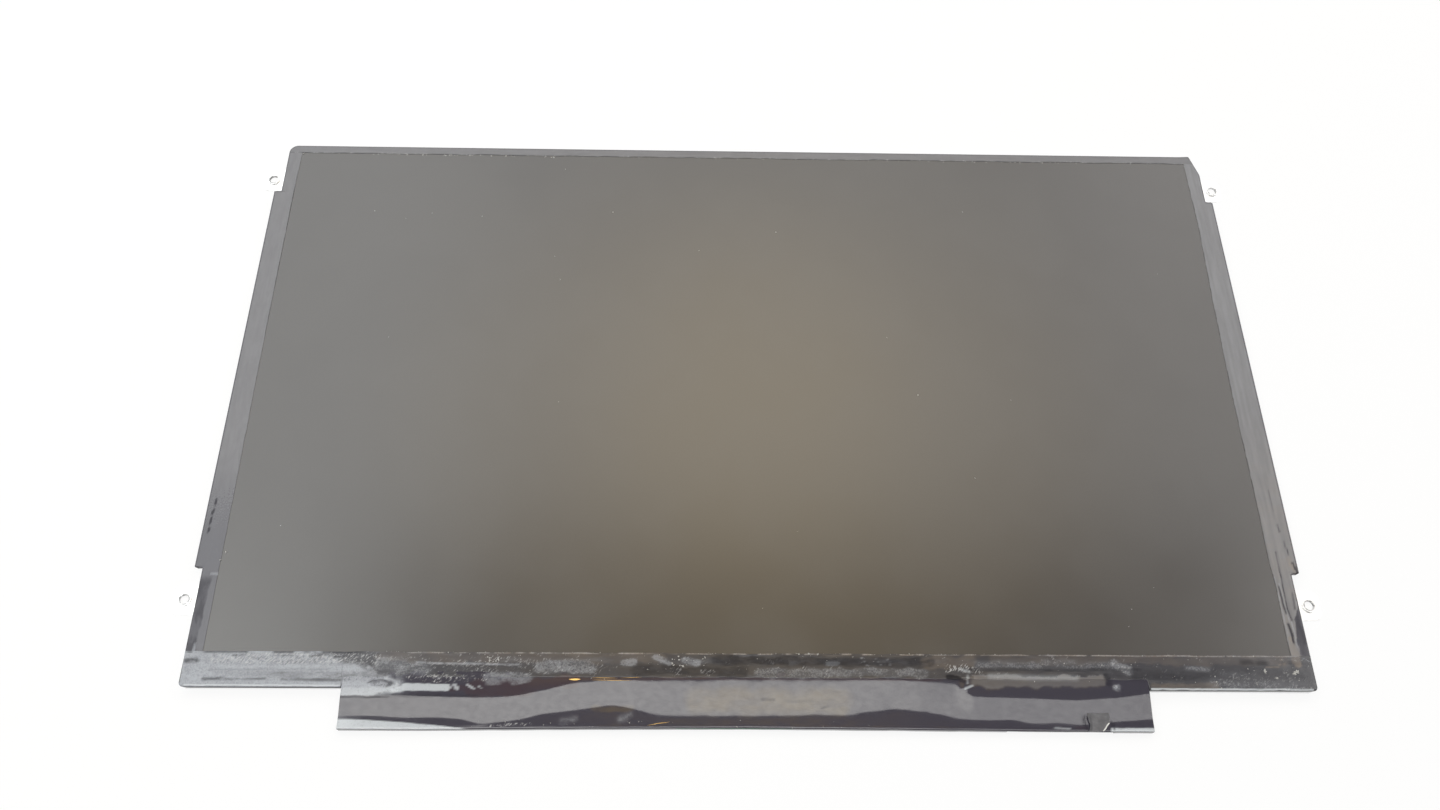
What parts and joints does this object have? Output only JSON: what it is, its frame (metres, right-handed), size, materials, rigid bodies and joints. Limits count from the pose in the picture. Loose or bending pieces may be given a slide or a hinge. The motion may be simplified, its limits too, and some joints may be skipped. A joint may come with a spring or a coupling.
{
  "type": "laptop screen panel",
  "caption": "Slim laptop LCD panel with a matt screen, taped black rim, mounting ears at the sides and a film-covered control board along the lower edge.",
  "frame": {"origin": "under the middle of the whole outline, on the plane of the rear face", "axes": "+X along the width to the right, +Y towards the top edge, +Z out of the screen"},
  "size_m": [0.3048, 0.1808, 0.0034],
  "materials": {
    "steel_pan": "bright rolled steel sheet",
    "frame_plastic": "moulded black plastic",
    "screen_face": "anti-glare polarizer, matt dark grey",
    "black_tape": "black adhesive tape, scuffed",
    "black_film": "glossy black film",
    "grey_tape": "matt grey tape",
    "cell_glass": "thin display glass",
    "inner_polarizer": "smooth dark film",
    "white_sheet": "white sheet",
    "clear_sheet": "clear plastic",
    "amber_flex": "amber polyimide film with copper",
    "led_white": "white LED body with a yellow face",
    "board_green": "solder mask",
    "chip_black": "moulded chip package",
    "ceramic_tan": "ceramic component",
    "ferrite_grey": "ferrite",
    "connector_plastic": "cream moulded plastic",
    "connector_metal": "bright plated sheet",
    "contact_gold": "gold plate"
  },
  "bodies": {
    "root": {"rear_chassis": "steel_pan", "guide_frame": "frame_plastic", "front_polarizer": "screen_face", "left_side_tape": "black_tape", "right_side_tape": "black_tape", "top_edge_tape": "black_tape", "lower_ledge_tape": "black_tape", "cell_bonding_tape": "black_tape", "board_cover_film": "black_film", "board_edge_patch": "grey_tape", "tft_glass": "cell_glass", "colour_filter_glass": "cell_glass", "rear_polarizer": "inner_polarizer", "reflector_sheet": "white_sheet", "lower_diffuser": "white_sheet", "upper_diffuser": "white_sheet", "light_guide_plate": "clear_sheet", "lower_prism_sheet": "clear_sheet", "upper_prism_sheet": "clear_sheet", "led_strip_flex": "amber_flex", "driver_film_left": "amber_flex", "driver_film_middle": "amber_flex", "driver_film_right": "amber_flex", "backlight_leds": "led_white", "control_board": "board_green", "driver_chips": "chip_black", "timing_controller": "chip_black", "backlight_driver": "chip_black", "power_converter": "chip_black", "settings_memory": "chip_black", "board_resistors": "chip_black", "backlight_connector_latch": "chip_black", "board_capacitors": "ceramic_tan", "power_inductors": "ferrite_grey", "video_connector_housing": "connector_plastic", "backlight_connector": "connector_plastic", "video_connector_shell": "connector_metal", "video_connector_contacts": "contact_gold"}
  },
  "joints": []
}
